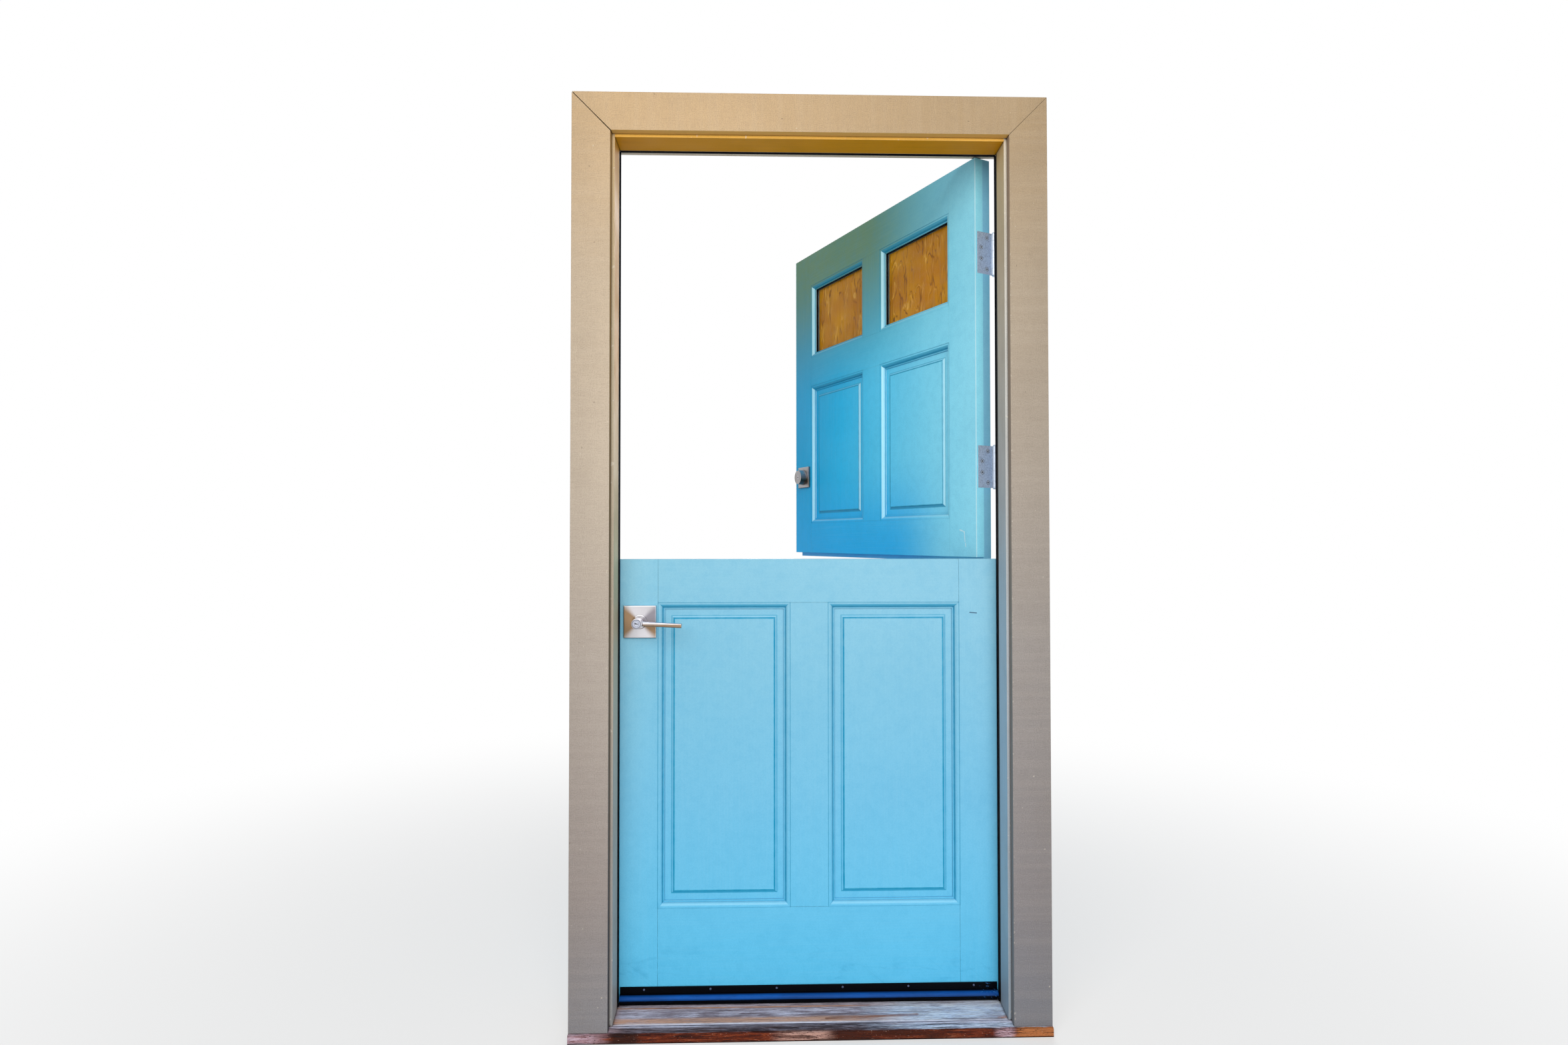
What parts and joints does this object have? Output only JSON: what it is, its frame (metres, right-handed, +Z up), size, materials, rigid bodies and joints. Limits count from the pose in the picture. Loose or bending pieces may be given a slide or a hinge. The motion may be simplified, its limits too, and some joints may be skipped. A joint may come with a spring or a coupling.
{
  "type": "dutch stable door",
  "caption": "Two-part wooden stable door in its frame: panelled lower leaf, upper leaf with small glazed lites swung inwards, casing and sill.",
  "frame": {"origin": "centre of the sill's flat underside, midway in the depth of the jambs", "axes": "+X to the right seen from outside (the hinge side), +Y inwards, +Z up"},
  "size_m": [1.072, 0.9729, 2.106],
  "materials": {
    "frame_paint": "satin exterior paint on rough-sawn wood",
    "sill_wood": "weathered, worn stain",
    "seal_rubber": "matt",
    "satin_nickel": "satin nickel plate",
    "plug_nickel": "satin",
    "hinge_nickel": "satin nickel plate",
    "leaf_paint": "satin exterior paint, light blue",
    "clear_glass": "clear float glass",
    "lite_glass": "textured amber glass",
    "drip_paint": "gloss black paint"
  },
  "bodies": {
    "frame": {"casing_left": "frame_paint", "casing_right": "frame_paint", "casing_head": "frame_paint", "strike_jamb": "frame_paint", "hinge_jamb": "frame_paint", "head_jamb": "frame_paint", "sill": "sill_wood", "sill_nosing": "sill_wood", "seal_strike_side": "seal_rubber", "seal_hinge_side": "seal_rubber", "seal_head": "seal_rubber", "latch_strike": "satin_nickel", "deadbolt_strike": "satin_nickel", "upper_jamb_hinge_leaves": "hinge_nickel", "lower_jamb_hinge_leaves": "hinge_nickel", "hinge_pins": "hinge_nickel", "frame_screws": "hinge_nickel"},
    "upper_leaf": {"upper_lock_stile": "leaf_paint", "upper_hinge_stile": "leaf_paint", "upper_top_rail": "leaf_paint", "upper_middle_rail": "leaf_paint", "upper_bottom_rail": "leaf_paint", "upper_lite_mullion": "leaf_paint", "upper_panel_mullion": "leaf_paint", "upper_panel_left": "leaf_paint", "upper_panel_right": "leaf_paint", "lite_glass_left": "lite_glass", "lite_glass_right": "lite_glass", "lite_outer_panes": "clear_glass", "lite_gaskets": "seal_rubber", "glazing_beads": "leaf_paint", "upper_door_hinge_leaves": "hinge_nickel", "upper_leaf_screws": "hinge_nickel", "deadbolt_outer_rose": "satin_nickel", "deadbolt_inner_rose": "satin_nickel", "deadbolt_case": "satin_nickel", "joining_bolt_base": "satin_nickel"},
    "deadbolt_bolt": {"deadbolt_bolt": "satin_nickel"},
    "deadbolt_turn": {"deadbolt_thumb_turn": "satin_nickel", "deadbolt_key_plug": "plug_nickel"},
    "joining_bolt": {"joining_bolt_slide": "satin_nickel"},
    "lower_leaf": {"lower_lock_stile": "leaf_paint", "lower_hinge_stile": "leaf_paint", "lower_top_rail": "leaf_paint", "lower_bottom_rail": "leaf_paint", "lower_mullion": "leaf_paint", "lower_panel_left": "leaf_paint", "lower_panel_right": "leaf_paint", "lower_door_hinge_leaves": "hinge_nickel", "lower_leaf_screws": "hinge_nickel", "drip_sweep": "drip_paint", "sweep_seal": "seal_rubber", "outer_rose": "satin_nickel", "inner_rose": "satin_nickel", "latch_case": "satin_nickel", "joining_bolt_keeper": "satin_nickel"},
    "latch_bolt": {"latch_bolt": "satin_nickel"},
    "lever": {"outer_lever": "satin_nickel", "inner_lever": "satin_nickel"},
    "lever_plug": {"lever_key_plug": "plug_nickel"}
  },
  "joints": [
    {"name": "upper_leaf_swing", "type": "hinge", "parent": "frame", "child": "upper_leaf", "pos_m": [0.45525, 0.0732, 1.5], "axis": [0, 0, -1], "range_deg": [-64, 46]},
    {"name": "lower_leaf_swing", "type": "hinge", "parent": "frame", "child": "lower_leaf", "pos_m": [0.45525, 0.0732, 0.5], "axis": [0, 0, -1], "range_deg": [0, 62]},
    {"name": "deadbolt_turn", "type": "hinge", "parent": "upper_leaf", "child": "deadbolt_turn", "pos_m": [0.05168, 0.82091, 1.304], "axis": [0.8988, 0.4384, 0], "range_deg": [0, 90]},
    {"name": "deadbolt_throw", "type": "slide", "parent": "upper_leaf", "child": "deadbolt_bolt", "axis": [-0.4384, 0.8988, 0], "range_m": [0, 0.0254]},
    {"name": "joining_bolt_throw", "type": "slide", "parent": "upper_leaf", "child": "joining_bolt", "axis": [0, 0, -1], "range_m": [0, 0.03]},
    {"name": "lever_turn", "type": "hinge", "parent": "lower_leaf", "child": "lever", "pos_m": [-0.3937, 0.03825, 0.912], "axis": [0, 1, 0], "range_deg": [0, 45], "stiffness_Nm_per_rad": 1.2, "springref_deg": -20.05},
    {"name": "lever_plug_turn", "type": "hinge", "parent": "lever", "child": "lever_plug", "pos_m": [-0.3937, -0.04, 0.912], "axis": [0, 1, 0], "range_deg": [0, 90]},
    {"name": "latch_throw", "type": "slide", "parent": "lower_leaf", "child": "latch_bolt", "axis": [-1, 0, 0], "range_m": [0, 0.0127]}
  ],
  "couplings": [
    {"joint": "deadbolt_turn", "follows": "deadbolt_throw", "rad_per_m": 61.842}
  ]
}
